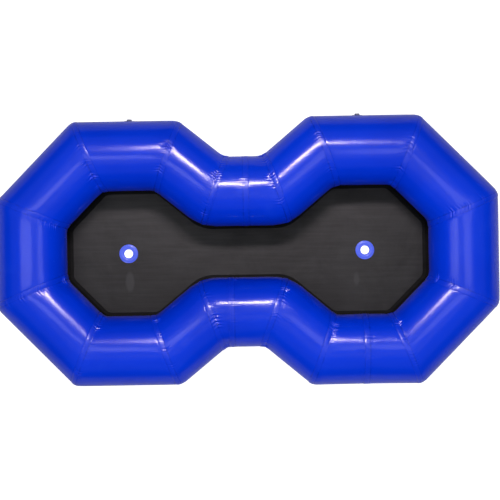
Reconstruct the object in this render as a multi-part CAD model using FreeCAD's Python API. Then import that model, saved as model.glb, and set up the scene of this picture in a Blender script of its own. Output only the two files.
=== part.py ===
import FreeCAD, Part

import math
import os

from FreeCAD import Vector

# Two-rider in-line inflatable tube: one fat air tube bent into a figure of eight, welded to a flat floor.
# Millimetres. +X runs along the boat, +Z is up, and the origin is on the ground, at the middle of the
# whole outline. "far" is the +Y side, "near" the -Y side.

# Air tube
TUBE_RADIUS = 150.0
TUBE_WALL = 1.0
FLOOR_THICKNESS = 1.0

# Plan of the tube's centre line, measured from the middle of the waist
WAIST_HALF_WIDTH = 260.5
WAIST_HALF_LENGTH = 135.5
LEFT_SHOULDER_X = 331.0
LEFT_SIDE_END_X = 673.5
LEFT_SIDE_HALF_WIDTH = 419.5
LEFT_END_X = 916.0
LEFT_END_HALF_WIDTH = 171.0
RIGHT_SHOULDER_X = 337.0
RIGHT_SIDE_END_X = 697.5
RIGHT_SIDE_HALF_WIDTH = 429.0
RIGHT_END_X = 945.0
RIGHT_END_HALF_WIDTH = 180.0

# Where the air tube is divided into a left and a right chamber, and where one side panel is pieced
FAR_BULKHEAD_X = -2.0
NEAR_BULKHEAD_X = -46.0
PIECED_SEAM_X = 524.0

# Inner tapes and bulkheads
TAPE_WIDTH = 24.0
TAPE_THICKNESS = 0.5
BULKHEAD_THICKNESS = 1.0
BULKHEAD_FLANGE_WIDTH = 26.0

# Floor: how far it runs out under the tube past the tube's centre line, and its border strip
FLOOR_UNDER_TUBE = 25.0
BORDER_THICKNESS = 1.0
BORDER_INSIDE_TUBE = 8.0
BORDER_AIR_GAP = 0.3
WAIST_INNER_CORNER_RADIUS = 150.0

# Drain holes in the floor
DRAIN_RADIUS = 19.0
DRAIN_RING_WIDTH = 22.5
DRAIN_RING_THICKNESS = 1.0
LEFT_DRAIN_X = -514.0
RIGHT_DRAIN_X = 532.0
DRAIN_Y = -2.0

# Inflation valves, on the outside of the far side tubes. Depths are along the valve's axis, from the
# tube's outer surface: outwards is positive.
LEFT_VALVE_X = -488.0
RIGHT_VALVE_X = 494.5
NECK_RADIUS = 9.0
NECK_WALL = 3.0
NECK_TOP = 6.0
FLANGE_WIDTH = 14.0
FLANGE_THICKNESS = 1.2
BODY_DEPTH = 12.0
SEAT_LEDGE = 1.5
SEAT_THICKNESS = 1.5
GUIDE_OUTER_DEPTH = 2.5
GUIDE_THICKNESS = 1.5
GUIDE_ARM_WIDTH = 1.4
GUIDE_ARM_COUNT = 3
STEM_RADIUS = 1.5
STEM_CLEARANCE = 0.06
BUTTON_THICKNESS = 1.5
BUTTON_BELOW_NECK_TOP = 1.2
POPPET_THICKNESS = 1.5
POPPET_PAST_SEAT = 1.5
SEAL_THICKNESS = 1.2
SEAT_CLEARANCE = 0.05
SPRING_WIRE_RADIUS = 0.25
SPRING_TO_STEM_GAP = 0.55
SPRING_HALF_TURNS = 9
HUB_PAST_SPRING = 0.45
BUTTON_PAST_SPRING = 0.65
CAP_CLEARANCE = 0.6
CAP_WALL = 1.4
CAP_TOP_THICKNESS = 1.4
CAP_ABOVE_NECK = 0.6
CAP_SEAL_THICKNESS = 0.5
CAP_EDGE_ROUND = 0.8
CAP_TAB_WIDTH = 6.0
CAP_TAB_REACH = 3.0
CAP_TAB_THICKNESS = 1.2
TETHER_THICKNESS = 1.1
TETHER_CLEARANCE = 0.3
TETHER_WIDTH = 6.0
HINGE_BELOW_CAP = 2.6

HALF_SPACE_SIZE = 4000.0

tube_axis_height = FLOOR_THICKNESS + TUBE_RADIUS

# Sizes inside a valve that follow from the neck, the stem and their clearances
flange_radius = NECK_RADIUS + FLANGE_WIDTH
bore_radius = NECK_RADIUS - NECK_WALL
seat_radius = bore_radius - SEAT_LEDGE
poppet_radius = seat_radius + POPPET_PAST_SEAT
spring_coil_radius = STEM_RADIUS + SPRING_TO_STEM_GAP + SPRING_WIRE_RADIUS
hub_radius = spring_coil_radius + SPRING_WIRE_RADIUS + HUB_PAST_SPRING
button_radius = spring_coil_radius + SPRING_WIRE_RADIUS + BUTTON_PAST_SPRING
cap_inner_radius = NECK_RADIUS + CAP_CLEARANCE
cap_radius = cap_inner_radius + CAP_WALL
cap_top = NECK_TOP + CAP_ABOVE_NECK + CAP_TOP_THICKNESS
hinge_drop = cap_radius + HINGE_BELOW_CAP
seal_top = -BODY_DEPTH - SEAT_CLEARANCE
poppet_top = seal_top - SEAL_THICKNESS
button_top = NECK_TOP - BUTTON_BELOW_NECK_TOP
button_bottom = button_top - BUTTON_THICKNESS

# The frame's origin is the middle of the whole outline, valve caps included.
left_reach = LEFT_END_X + TUBE_RADIUS
right_reach = RIGHT_END_X + TUBE_RADIUS
near_reach = max(LEFT_SIDE_HALF_WIDTH, RIGHT_SIDE_HALF_WIDTH) + TUBE_RADIUS
far_reach = near_reach + cap_top
centre_x = (right_reach - left_reach) / 2
centre_y = (far_reach - near_reach) / 2


def save(shape, node):
    """Move a shape into the part's own frame and write it as one node."""
    placed = shape.copy()
    placed.translate(Vector(-centre_x, -centre_y, 0))
    if not placed.isValid():
        raise ValueError(node + " is not a valid shape")
    placed.exportStep("parts/" + node + ".step")
    print(node, "solids", len(placed.Solids), "volume", round(placed.Volume, 1))


# ---- plan of the loop ----

def loop_corners():
    """Corners of the tube's centre line, clockwise from above, starting left of the far waist."""
    left_far = [
        (-WAIST_HALF_LENGTH, WAIST_HALF_WIDTH),
        (-LEFT_SHOULDER_X, LEFT_SIDE_HALF_WIDTH),
        (-LEFT_SIDE_END_X, LEFT_SIDE_HALF_WIDTH),
        (-LEFT_END_X, LEFT_END_HALF_WIDTH),
    ]
    right_far = [
        (WAIST_HALF_LENGTH, WAIST_HALF_WIDTH),
        (RIGHT_SHOULDER_X, RIGHT_SIDE_HALF_WIDTH),
        (RIGHT_SIDE_END_X, RIGHT_SIDE_HALF_WIDTH),
        (RIGHT_END_X, RIGHT_END_HALF_WIDTH),
    ]
    left_near = [(x, -y) for x, y in left_far]
    right_near = [(x, -y) for x, y in right_far]
    ordered = left_far[::-1] + right_far + right_near[::-1] + left_near
    return [Vector(x, y, 0) for x, y in ordered]


CORNER_NAMES = [
    "left_far_end", "left_far_corner", "left_far_shoulder", "left_far_waist",
    "right_far_waist", "right_far_shoulder", "right_far_corner", "right_far_end",
    "right_near_end", "right_near_corner", "right_near_shoulder", "right_near_waist",
    "left_near_waist", "left_near_shoulder", "left_near_corner", "left_near_end",
]


def direction(start, end):
    return (end - start).normalize()


def mitre_normal(before, corner, after):
    """Normal of the upright plane that halves the angle at a corner, pointing onwards round the loop."""
    return (direction(before, corner) + direction(corner, after)).normalize()


def offset_loop(corners, distance):
    """The loop moved sideways: a positive distance is outwards, away from the riders."""
    moved = []
    for index, corner in enumerate(corners):
        before = corners[index - 1]
        after = corners[(index + 1) % len(corners)]
        onward = direction(corner, after)
        outward = Vector(-onward.y, onward.x, 0)
        mitre = mitre_normal(before, corner, after)
        along_mitre = Vector(-mitre.y, mitre.x, 0)
        moved.append(corner + along_mitre * (distance / along_mitre.dot(outward)))
    return moved


def flat_plate(corners, bottom, thickness, round_radius=0.0, rounded=()):
    """A flat plate of a closed outline, with arcs in place of some of its corners."""
    edges = []
    arc_ends = []
    for index, corner in enumerate(corners):
        to_before = direction(corner, corners[index - 1])
        to_after = direction(corner, corners[(index + 1) % len(corners)])
        if index not in rounded or round_radius <= 0:
            arc_ends.append((corner, corner, None))
            continue
        half_angle = to_before.getAngle(to_after) / 2
        cut = round_radius / math.tan(half_angle)
        to_centre = (to_before + to_after).normalize()
        middle = corner + to_centre * (round_radius / math.sin(half_angle) - round_radius)
        arc_ends.append((corner + to_before * cut, corner + to_after * cut, middle))
    for index, (arc_start, arc_end, middle) in enumerate(arc_ends):
        if middle is not None:
            edges.append(Part.Arc(arc_start, middle, arc_end).toShape())
        next_start = arc_ends[(index + 1) % len(arc_ends)][0]
        edges.append(Part.LineSegment(arc_end, next_start).toShape())
    face = Part.Face(Part.Wire(edges))
    face.translate(Vector(0, 0, bottom))
    return face.extrude(Vector(0, 0, thickness))


# ---- air tube ----

def beyond_plane(point, normal):
    """A large block that fills everything on the side of a plane that its normal points to."""
    half = HALF_SPACE_SIZE / 2
    block = Part.makeBox(HALF_SPACE_SIZE, HALF_SPACE_SIZE, HALF_SPACE_SIZE, Vector(-half, -half, 0))
    block.Placement = FreeCAD.Placement(point, FreeCAD.Rotation(Vector(0, 0, 1), normal))
    return block


def sleeve(start, end, start_normal, end_normal, outer_radius, inner_radius):
    """A straight sleeve between two upright planes, each through its own point."""
    onward = direction(start, end)
    spare = onward * (2 * TUBE_RADIUS)
    lift = Vector(0, 0, tube_axis_height)
    foot = start - spare + lift
    length = (end - start).Length + 4 * TUBE_RADIUS
    tube = Part.makeCylinder(outer_radius, length, foot, onward)
    tube = tube.cut(Part.makeCylinder(inner_radius, length, foot, onward))
    tube = tube.cut(beyond_plane(start + lift, start_normal * -1))
    return tube.cut(beyond_plane(end + lift, end_normal))


def valve_hole(valve_x):
    """The round hole through the side panel for a valve's body."""
    side = LEFT_SIDE_HALF_WIDTH if valve_x < 0 else RIGHT_SIDE_HALF_WIDTH
    foot = Vector(valve_x, side + TUBE_RADIUS / 2, tube_axis_height)
    return Part.makeCylinder(NECK_RADIUS, TUBE_RADIUS, foot, Vector(0, 1, 0))


def tape_band(corners, index):
    """Inner tape over one mitre seam: the same width each side of the seam's plane."""
    before = corners[index - 1]
    corner = corners[index]
    after = corners[(index + 1) % len(corners)]
    normal = mitre_normal(before, corner, after)
    outer_radius = TUBE_RADIUS - TUBE_WALL
    inner_radius = outer_radius - TAPE_THICKNESS
    half = normal * (TAPE_WIDTH / 2)
    return tape_halves(before, corner, after, normal, half, outer_radius, inner_radius)


def tape_halves(before, corner, after, normal, half, outer_radius, inner_radius):
    lift = Vector(0, 0, tube_axis_height)
    halves = []
    for far_point, side in ((before, -1), (after, 1)):
        away = direction(corner, far_point)
        foot = corner - away * (2 * TUBE_RADIUS) + lift
        length = 4 * TUBE_RADIUS
        tube = Part.makeCylinder(outer_radius, length, foot, away)
        tube = tube.cut(Part.makeCylinder(inner_radius, length, foot, away))
        tube = tube.cut(beyond_plane(corner + lift, normal * -side))
        halves.append(tube.cut(beyond_plane(corner + half * side + lift, normal * side)))
    return halves[0].fuse(halves[1])


def straight_tape(x, y):
    """Inner tape over the plain seam that pieces one side panel."""
    outer_radius = TUBE_RADIUS - TUBE_WALL
    foot = Vector(x - TAPE_WIDTH / 2, y, tube_axis_height)
    band = Part.makeCylinder(outer_radius, TAPE_WIDTH, foot, Vector(1, 0, 0))
    return band.cut(Part.makeCylinder(outer_radius - TAPE_THICKNESS, TAPE_WIDTH, foot, Vector(1, 0, 0)))


def bulkhead(x, y):
    """Round wall between the two air chambers, with a flange welded round the inside of the tube."""
    outer_radius = TUBE_RADIUS - TUBE_WALL
    along = Vector(1, 0, 0)
    flange_foot = Vector(x - BULKHEAD_FLANGE_WIDTH / 2, y, tube_axis_height)
    flange = Part.makeCylinder(outer_radius, BULKHEAD_FLANGE_WIDTH, flange_foot, along)
    hollow = Part.makeCylinder(outer_radius - BULKHEAD_THICKNESS, BULKHEAD_FLANGE_WIDTH, flange_foot, along)
    wall_foot = Vector(x - BULKHEAD_THICKNESS / 2, y, tube_axis_height)
    wall = Part.makeCylinder(outer_radius, BULKHEAD_THICKNESS, wall_foot, along)
    return flange.cut(hollow).fuse(wall)


def build_air_tube():
    corners = loop_corners()
    count = len(corners)
    normals = []
    for index, corner in enumerate(corners):
        normals.append(mitre_normal(corners[index - 1], corner, corners[(index + 1) % count]))

    def panel(start, end, start_normal, end_normal, node, hole=None):
        shape = sleeve(start, end, start_normal, end_normal, TUBE_RADIUS, TUBE_RADIUS - TUBE_WALL)
        if hole is not None:
            shape = shape.cut(hole)
        save(shape, node)

    # The plain panels, from one corner to the next. The waist runs and the pieced side are made below.
    panel_names = {
        0: "left_far_corner_panel", 1: "left_far_side_panel", 2: "left_far_shoulder_panel",
        4: "right_far_shoulder_panel", 5: "right_far_side_panel", 6: "right_far_corner_panel",
        7: "right_end_panel", 8: "right_near_corner_panel", 10: "right_near_shoulder_panel",
        12: "left_near_shoulder_panel", 13: "left_near_side_panel", 14: "left_near_corner_panel",
        15: "left_end_panel",
    }
    holes = {
        "left_far_side_panel": valve_hole(LEFT_VALVE_X),
        "right_far_side_panel": valve_hole(RIGHT_VALVE_X),
    }
    for index, node in panel_names.items():
        end = (index + 1) % count
        panel(corners[index], corners[end], normals[index], normals[end], node, holes.get(node))

    # Runs that a straight seam divides in two: index of the first corner, seam, and the two nodes
    divided = [
        (3, FAR_BULKHEAD_X, "left_far_waist_panel", "right_far_waist_panel"),
        (9, PIECED_SEAM_X, "right_near_side_outer_panel", "right_near_side_inner_panel"),
        (11, NEAR_BULKHEAD_X, "right_near_waist_panel", "left_near_waist_panel"),
    ]
    for index, seam_x, first_node, second_node in divided:
        start = corners[index]
        end = corners[index + 1]
        seam = Vector(seam_x, start.y, 0)
        square = direction(start, end)
        panel(start, seam, normals[index], square, first_node)
        panel(seam, end, square, normals[index + 1], second_node)

    for index, name in enumerate(CORNER_NAMES):
        save(tape_band(corners, index), name + "_seam_tape")
    save(straight_tape(PIECED_SEAM_X, -RIGHT_SIDE_HALF_WIDTH), "right_near_side_seam_tape")
    save(bulkhead(FAR_BULKHEAD_X, WAIST_HALF_WIDTH), "far_bulkhead")
    save(bulkhead(NEAR_BULKHEAD_X, -WAIST_HALF_WIDTH), "near_bulkhead")


# ---- floor ----

def drain_cylinder(x, radius, bottom, height):
    return Part.makeCylinder(radius, height, Vector(x, DRAIN_Y, bottom))


def build_floor():
    corners = loop_corners()
    floor = flat_plate(offset_loop(corners, FLOOR_UNDER_TUBE), 0, FLOOR_THICKNESS)
    for drain_x in (LEFT_DRAIN_X, RIGHT_DRAIN_X):
        floor = floor.cut(drain_cylinder(drain_x, DRAIN_RADIUS, -1, FLOOR_THICKNESS + 2))
    save(floor, "floor_panel")

    # The border strip lies on the floor from under the tube, where there is room for its thickness,
    # to a little inside the tube's widest line.
    rise = BORDER_THICKNESS + BORDER_AIR_GAP
    nearest_to_axis = math.sqrt(TUBE_RADIUS ** 2 - (TUBE_RADIUS - rise) ** 2)
    waist_corners = [index for index, name in enumerate(CORNER_NAMES) if name.endswith("waist")]
    outer = flat_plate(offset_loop(corners, -nearest_to_axis), FLOOR_THICKNESS, BORDER_THICKNESS)
    inside = offset_loop(corners, -(TUBE_RADIUS + BORDER_INSIDE_TUBE))
    inner = flat_plate(inside, FLOOR_THICKNESS, BORDER_THICKNESS, WAIST_INNER_CORNER_RADIUS, waist_corners)
    save(outer.cut(inner), "floor_border_strip")

    for side, drain_x in (("left", LEFT_DRAIN_X), ("right", RIGHT_DRAIN_X)):
        ring_radius = DRAIN_RADIUS + DRAIN_RING_WIDTH
        ring = drain_cylinder(drain_x, ring_radius, FLOOR_THICKNESS, DRAIN_RING_THICKNESS)
        hole = drain_cylinder(drain_x, DRAIN_RADIUS, FLOOR_THICKNESS, DRAIN_RING_THICKNESS)
        save(ring.cut(hole), side + "_drain_ring")


# ---- valves, built about a valve axis along +Z and then laid over along +Y ----

def disc(radius, bottom, top, hole_radius=0.0):
    shape = Part.makeCylinder(radius, top - bottom, Vector(0, 0, bottom))
    if hole_radius > 0:
        shape = shape.cut(Part.makeCylinder(hole_radius, top - bottom, Vector(0, 0, bottom)))
    return shape


def make_flange():
    """Fabric boot: a round patch that follows the tube's surface."""
    tube_length = 4 * flange_radius
    foot = Vector(-tube_length / 2, 0, -TUBE_RADIUS)
    shell = Part.makeCylinder(TUBE_RADIUS + FLANGE_THICKNESS, tube_length, foot, Vector(1, 0, 0))
    shell = shell.cut(Part.makeCylinder(TUBE_RADIUS, tube_length, foot, Vector(1, 0, 0)))
    return shell.common(disc(flange_radius, -TUBE_RADIUS / 2, NECK_TOP, NECK_RADIUS))


def make_body():
    """Moulded valve body: neck, barrel, seat at the inner end, and a spoked guide for the stem."""
    body = disc(NECK_RADIUS, -BODY_DEPTH, NECK_TOP, seat_radius)
    body = body.cut(disc(bore_radius, -BODY_DEPTH + SEAT_THICKNESS, NECK_TOP))
    guide_top = -GUIDE_OUTER_DEPTH
    guide_bottom = guide_top - GUIDE_THICKNESS
    guide = disc(hub_radius, guide_bottom, guide_top)
    reach = (bore_radius + NECK_RADIUS) / 2
    for number in range(GUIDE_ARM_COUNT):
        corner = Vector(0, -GUIDE_ARM_WIDTH / 2, guide_bottom)
        arm = Part.makeBox(reach, GUIDE_ARM_WIDTH, GUIDE_THICKNESS, corner)
        arm.rotate(Vector(0, 0, 0), Vector(0, 0, 1), 360 / GUIDE_ARM_COUNT * number)
        guide = guide.fuse(arm)
    body = body.fuse(guide)
    return body.cut(disc(STEM_RADIUS + STEM_CLEARANCE, guide_bottom - 1, guide_top + 1))


def make_stem():
    stem = disc(STEM_RADIUS, poppet_top - POPPET_THICKNESS, button_top)
    poppet = disc(poppet_radius, poppet_top - POPPET_THICKNESS, poppet_top)
    button = disc(button_radius, button_bottom, button_top)
    return stem.fuse([poppet, button])


def make_spring():
    """Coil spring between the guide's hub and the stem's button: tilted half circles, end to end."""
    bottom = -GUIDE_OUTER_DEPTH + SPRING_WIRE_RADIUS
    rise = (button_bottom - SPRING_WIRE_RADIUS - bottom) / SPRING_HALF_TURNS
    arcs = []
    for number in range(SPRING_HALF_TURNS):
        side = 1 if number % 2 == 0 else -1
        start = Vector(side * spring_coil_radius, 0, bottom + rise * number)
        end = Vector(-side * spring_coil_radius, 0, bottom + rise * (number + 1))
        middle = (start + end) / 2 + Vector(0, side * (end - start).Length / 2, 0)
        arcs.append(Part.Arc(start, middle, end).toShape())
    section = Part.makeCircle(SPRING_WIRE_RADIUS, Vector(spring_coil_radius, 0, bottom), Vector(0, 1, 0))
    return Part.Wire(arcs).makePipeShell([Part.Wire(section)], True, False)


def make_cap():
    """Push-on cap with a hinge tab: the tab hangs over the tether's tongue, clear of it."""
    skirt_bottom = FLANGE_THICKNESS + TETHER_THICKNESS + TETHER_CLEARANCE
    cap = disc(cap_radius, skirt_bottom, cap_top)
    rim = [edge for edge in cap.Edges if edge.BoundBox.ZMin > cap_top - 0.01]
    cap = cap.makeFillet(CAP_EDGE_ROUND, rim)
    tab = Part.makeBox(
        CAP_TAB_WIDTH, hinge_drop, CAP_TAB_THICKNESS, Vector(-CAP_TAB_WIDTH / 2, 0, skirt_bottom))
    lift_tab = Part.makeBox(
        CAP_TAB_WIDTH, cap_radius + CAP_TAB_REACH, CAP_TAB_THICKNESS,
        Vector(-CAP_TAB_WIDTH / 2, -cap_radius - CAP_TAB_REACH, skirt_bottom))
    cap = cap.fuse([tab, lift_tab])
    return cap.cut(disc(cap_inner_radius, skirt_bottom - 1, cap_top - CAP_TOP_THICKNESS))


def make_tether():
    """Ring snapped round the foot of the neck, with a tongue that ends at the fold line."""
    bottom = FLANGE_THICKNESS
    top = bottom + TETHER_THICKNESS
    ring = disc(cap_radius, bottom, top)
    tongue = Part.makeBox(TETHER_WIDTH, hinge_drop, TETHER_THICKNESS, Vector(-TETHER_WIDTH / 2, 0, bottom))
    return ring.fuse(tongue).cut(disc(NECK_RADIUS, bottom, top))


def build_valve(side, valve_x, side_half_width):
    cap_seal_top = cap_top - CAP_TOP_THICKNESS
    pieces = {
        "flange": make_flange(),
        "body": make_body(),
        "stem": make_stem(),
        "seal": disc(poppet_radius, poppet_top, seal_top, STEM_RADIUS),
        "spring": make_spring(),
        "tether": make_tether(),
        "cap": make_cap(),
        "cap_seal": disc(cap_inner_radius, cap_seal_top - CAP_SEAL_THICKNESS, cap_seal_top),
    }
    mouth = Vector(valve_x, side_half_width + TUBE_RADIUS, tube_axis_height)
    for name, shape in pieces.items():
        shape.rotate(Vector(0, 0, 0), Vector(1, 0, 0), -90)
        shape.translate(mouth)
        save(shape, side + "_valve_" + name)


os.makedirs("parts", exist_ok=True)
build_air_tube()
build_floor()
build_valve("left", LEFT_VALVE_X, LEFT_SIDE_HALF_WIDTH)
build_valve("right", RIGHT_VALVE_X, RIGHT_SIDE_HALF_WIDTH)
print("outline", left_reach + right_reach, "x", near_reach + far_reach, "x", tube_axis_height + TUBE_RADIUS)
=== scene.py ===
# %% [markdown]
# # A two-rider river tube in PVC fabric
# This lesson builds the looks of an inflatable tube round a finished engineering model. The model gives
# every size and place. Blender adds what makes it read as an inflated, welded thing: the swell of each
# fabric panel, the lapped seams, the puckers where the fabric is gathered, and the gloss of the PVC.

# %% Load the frame
import math

import bmesh
import bpy
import numpy as np
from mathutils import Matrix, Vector, geometry


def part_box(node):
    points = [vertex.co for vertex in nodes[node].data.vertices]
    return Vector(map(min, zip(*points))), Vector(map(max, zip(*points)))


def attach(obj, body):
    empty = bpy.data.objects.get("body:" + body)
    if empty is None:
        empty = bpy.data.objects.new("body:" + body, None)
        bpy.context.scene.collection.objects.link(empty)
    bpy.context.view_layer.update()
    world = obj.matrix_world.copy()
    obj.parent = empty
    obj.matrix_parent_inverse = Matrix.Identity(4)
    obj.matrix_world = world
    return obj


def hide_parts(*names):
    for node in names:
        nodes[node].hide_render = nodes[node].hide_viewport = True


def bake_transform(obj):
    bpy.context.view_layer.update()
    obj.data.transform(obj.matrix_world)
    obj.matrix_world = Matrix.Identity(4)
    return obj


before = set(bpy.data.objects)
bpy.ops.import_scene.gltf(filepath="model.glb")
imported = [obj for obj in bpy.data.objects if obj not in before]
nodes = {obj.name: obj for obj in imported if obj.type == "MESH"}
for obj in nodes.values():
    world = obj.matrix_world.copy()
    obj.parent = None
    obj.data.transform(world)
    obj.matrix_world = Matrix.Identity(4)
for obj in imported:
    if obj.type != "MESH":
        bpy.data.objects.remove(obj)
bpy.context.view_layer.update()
print("frame", len(nodes), "nodes")

# %% [markdown]
# ## Two helpers for making meshes
# Nearly every piece here is made from rows of points that go once round something: a tube, a hole, a wire.
# One helper joins such rows with four-sided faces. The other closes the work on a mesh: it turns the faces
# the same way, shades them smooth and puts the object into the scene.

# %% Mesh helpers
def join_rows(shell, rows):
    """Joins closed rows of vertices, each to the next, with four-sided faces."""
    for here, there in zip(rows, rows[1:]):
        for n in range(len(here)):
            nxt = (n + 1) % len(here)
            shell.faces.new((here[n], here[nxt], there[nxt], there[n]))


def place_mesh(name, mesh):
    """Shades a mesh smooth and puts it into the scene as an object of the same name."""
    mesh.polygons.foreach_set("use_smooth", np.ones(len(mesh.polygons), dtype=bool))
    piece = bpy.data.objects.new(name, mesh)
    bpy.context.collection.objects.link(piece)
    return piece


def place_shell(name, shell, face_up=False):
    """Ends the editing of a shell whose faces should all look outwards, or upwards for a flat sheet."""
    bmesh.ops.recalc_face_normals(shell, faces=shell.faces)
    if face_up and sum(f.normal.z for f in shell.faces) < 0:
        bmesh.ops.reverse_faces(shell, faces=shell.faces)
    mesh = bpy.data.meshes.new(name)
    shell.to_mesh(mesh)
    shell.free()
    return place_mesh(name, mesh)


print("helpers", join_rows.__name__, place_mesh.__name__, place_shell.__name__)

# %% [markdown]
# ## Reading the plan back from the panels
# Each air tube panel is a straight sleeve with mitred ends. Its direction is the one way that none of its
# faces looks, so the weakest axis of the face normals gives it. Two neighbours' centre lines then cross at
# the seam between them. Reading the plan this way keeps this file true when the tube's sizes change.

# %% The air tube's centre line
PANELS = [
    "left_far_corner_panel", "left_far_side_panel", "left_far_shoulder_panel", "left_far_waist_panel",
    "right_far_waist_panel", "right_far_shoulder_panel", "right_far_side_panel", "right_far_corner_panel",
    "right_end_panel", "right_near_corner_panel", "right_near_side_outer_panel",
    "right_near_side_inner_panel", "right_near_shoulder_panel", "right_near_waist_panel",
    "left_near_waist_panel", "left_near_shoulder_panel", "left_near_side_panel", "left_near_corner_panel",
    "left_end_panel",
]
UP = np.array([0.0, 0.0, 1.0])
STRAIGHT = 0.02  # radians: neighbours that turn less than this run straight on


def vertex_array(node):
    mesh = nodes[node].data
    points = np.empty(len(mesh.vertices) * 3)
    mesh.vertices.foreach_get("co", points)
    return points.reshape(-1, 3)


def centre_line(node):
    """A point on a panel's centre line and the line's direction, both in plan."""
    mesh = nodes[node].data
    normals = np.empty(len(mesh.polygons) * 3)
    areas = np.empty(len(mesh.polygons))
    mesh.polygons.foreach_get("normal", normals)
    mesh.polygons.foreach_get("area", areas)
    normals = normals.reshape(-1, 3)
    spread = (normals * areas[:, None]).T @ normals
    along = np.linalg.eigh(spread)[1][:, 0]
    along = np.array([along[0], along[1], 0.0]) / np.hypot(along[0], along[1])
    across = np.cross(UP, along)
    reach = vertex_array(node) @ across
    return across * (reach.max() + reach.min()) / 2, along


def seam_point(before, after):
    """Where two neighbours' centre lines cross, or their shared face when they run straight on."""
    point_a, along_a = centre_line(before)
    point_b, along_b = centre_line(after)
    turn = along_a[0] * along_b[1] - along_a[1] * along_b[0]
    if abs(turn) > STRAIGHT:
        gap = point_b - point_a
        reach = (gap[0] * along_b[1] - gap[1] * along_b[0]) / turn
        return point_a + along_a * reach
    low_a, high_a = (np.array(c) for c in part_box(before))
    low_b, high_b = (np.array(c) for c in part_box(after))
    shared_x = high_a[0] if abs(high_a[0] - low_b[0]) < abs(low_a[0] - high_b[0]) else low_a[0]
    return np.array([shared_x, point_a[1], 0.0])


floor_low, floor_high = (np.array(c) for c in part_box("floor_panel"))
end_low, end_high = (np.array(c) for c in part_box("left_end_panel"))
TUBE_RADIUS = (end_high[2] - end_low[2]) / 2
AXIS_HEIGHT = (end_high[2] + end_low[2]) / 2
FLOOR_TOP = floor_high[2]
PANEL_COUNT = len(PANELS)
seams = [seam_point(PANELS[k - 1], PANELS[k]) for k in range(PANEL_COUNT)]
print("tube radius", round(TUBE_RADIUS, 4), "axis at", round(AXIS_HEIGHT, 4), "seams", len(seams))

# %% [markdown]
# ## Runs and joints
# A run is the stretch of tube between two seams, and a joint is the seam itself. A run needs its direction
# and the way out of the loop. A joint needs the upright plane that the seam lies in, how far the tube turns
# there, and whether it turns round a lobe or into the waist.

# %% Directions along and across each run
runs = []
for k in range(PANEL_COUNT):
    start, end = seams[k], seams[(k + 1) % PANEL_COUNT]
    along = (end - start) / np.linalg.norm(end - start)
    runs.append({"start": start, "end": end, "along": along, "out": np.cross(UP, along)})
joints = []
for k in range(PANEL_COUNT):
    before, after = runs[k - 1], runs[k]
    plane = before["along"] + after["along"]
    plane /= np.linalg.norm(plane)
    turn = math.acos(np.clip(before["along"] @ after["along"], -1, 1))
    bulge_side = 1.0 if np.cross(before["along"], after["along"])[2] < 0 else -1.0
    joints.append({"point": seams[k], "plane": plane, "turn": turn, "bulge_side": bulge_side})
print("turns in degrees", [round(math.degrees(j["turn"])) for j in joints])

# %% [markdown]
# ## How welded PVC swells at a seam
# A tube of this fabric is cut, lapped and welded panel by panel. Air pressure rounds each panel, but the
# weld is shorter and stiffer than the fabric beside it, so the surface dips at every seam. On the outside
# of a bend the pull rounds the corner off. Across the weld the gathered fabric stands in small puckers.
# All of this is one number for each point, how far it moves along the tube's radius, so neighbouring
# panels that share a seam always agree.

# %% Seam sizes, in metres
LAP_WIDTH = 0.024  # how far one panel lies over the next
FABRIC = 0.0011  # thickness of the coated fabric
GROOVE_DEPTH = 0.0019  # the dip at a seam
GROOVE_REACH = 0.011
EDGE_DIP = 0.0006  # the second, smaller dip at the lap's edge
EDGE_DIP_REACH = 0.0032
CORNER_ROUNDING = 0.022  # outside of a lobe's corner
WAIST_ROUNDING = 0.078  # outside of a waist corner
CREASE_FILLING = 0.030  # inside of any corner, where the fabric bridges it
PUCKER_REACH = 0.017
PUCKER_HEIGHT = 0.00085
SLOW_REACH = 0.05  # long low unevenness beside a seam
SLOW_HEIGHT = 0.00045
AROUND = 360  # points round the tube
theta = np.arange(AROUND) * 2 * math.pi / AROUND


def band_noise(seed, lowest, highest):
    """A smooth random ring of values round the tube, about one high, with no step where it closes."""
    random = np.random.RandomState(seed)
    total = np.zeros(AROUND)
    for wave in range(lowest, highest):
        total += random.normal() * np.cos(wave * theta + random.uniform(0, 2 * math.pi))
    return total / total.std()


print("seam lap", LAP_WIDTH, "fabric", FABRIC, "points round the tube", AROUND)

# %% [markdown]
# ### What differs from seam to seam
# The bulge is the outside of a bend and the crease is its inside, each from 0 to 1 round the tube. The
# puckers are fast waves round the seam, in patches, strongest in a waist corner. Every seam has its own
# random numbers, so no two look alike, and fixed seeds keep them the same in every run.

# %% Bulge, crease and puckers of each seam
STRAIGHT_PUCKER = 0.3  # share of the puckers at a seam where the tube runs straight on

for k, joint in enumerate(joints):
    straight = joint["turn"] < STRAIGHT
    joint["bulge"] = np.clip(np.cos(theta) * joint["bulge_side"], 0, 1) * (0 if straight else 1)
    joint["crease"] = np.clip(-np.cos(theta) * joint["bulge_side"], 0, 1) * (0 if straight else 1)
    at_waist = joint["bulge_side"] < 0 and not straight
    joint["rounding"] = WAIST_ROUNDING if at_waist else CORNER_ROUNDING
    patches = np.clip(band_noise(100 + k, 3, 16) * 0.9 + 0.35, 0.03, 2.0)
    gather = 0.75 + 0.6 * joint["crease"] + (0.9 if at_waist else -0.35) * joint["bulge"]
    joint["pucker"] = (PUCKER_HEIGHT * patches * gather * band_noise(200 + k, 52, 96)
                       * (STRAIGHT_PUCKER if straight else 1))
    joint["slow"] = SLOW_HEIGHT * band_noise(300 + k, 3, 14)
print("seams with a corner", sum(joint["turn"] >= STRAIGHT for joint in joints))

# %% [markdown]
# ### The swell as one function
# This could be modelled by hand, or left to a cloth simulation. A function is better for a tight tube: it
# is exact, it costs nothing, and two panels that meet at a seam get the same answer there.

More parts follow.
